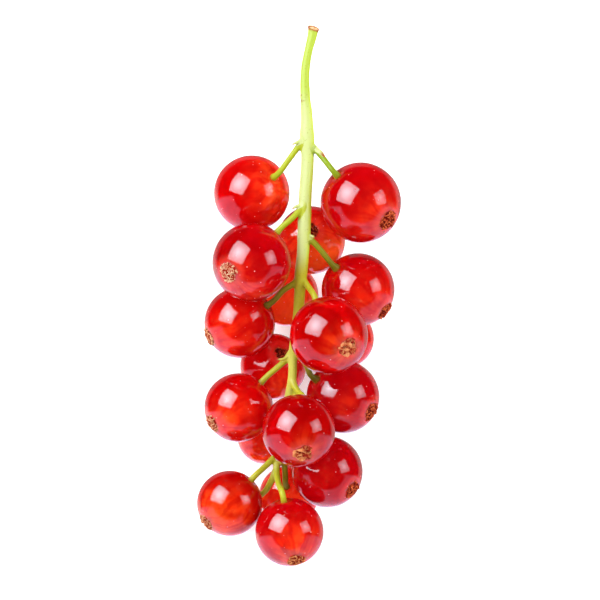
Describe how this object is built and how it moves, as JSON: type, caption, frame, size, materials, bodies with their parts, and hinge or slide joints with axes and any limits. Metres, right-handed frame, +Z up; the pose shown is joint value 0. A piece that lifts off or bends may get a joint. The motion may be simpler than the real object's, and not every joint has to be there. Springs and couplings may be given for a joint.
{
  "type": "sprig of redcurrants",
  "caption": "Cut sprig of ripe redcurrants lying on its side: round glossy berries on thin pedicels along a green stalk, each with its dry flower end.",
  "frame": {"origin": "on the surface that the sprig lies on, under the middle of its bounding box", "axes": "+Y along the stalk towards its cut end, +Z up from the surface the sprig lies on, +X to the right when it is seen from above with the cut end away from the viewer"},
  "size_m": [0.0296, 0.0784, 0.0255],
  "materials": {
    "stalk": "satin",
    "berry": "gloss",
    "dry_flower": "matte"
  },
  "bodies": {
    "root": {"stalk": "stalk", "berry_01": "berry", "berry_02": "berry", "berry_03": "berry", "berry_04": "berry", "berry_05": "berry", "berry_06": "berry", "berry_07": "berry", "berry_08": "berry", "berry_09": "berry", "berry_10": "berry", "berry_11": "berry", "berry_12": "berry", "berry_13": "berry", "berry_14": "berry", "berry_15": "berry", "berry_16": "berry", "berry_17": "berry", "berry_18": "berry", "berry_19": "berry", "flower_01": "dry_flower", "flower_02": "dry_flower", "flower_03": "dry_flower", "flower_04": "dry_flower", "flower_05": "dry_flower", "flower_06": "dry_flower", "flower_07": "dry_flower", "flower_08": "dry_flower", "flower_09": "dry_flower", "flower_10": "dry_flower", "flower_11": "dry_flower", "flower_12": "dry_flower", "flower_13": "dry_flower", "flower_14": "dry_flower", "flower_15": "dry_flower", "flower_16": "dry_flower", "flower_17": "dry_flower", "flower_18": "dry_flower", "flower_19": "dry_flower"}
  },
  "joints": []
}
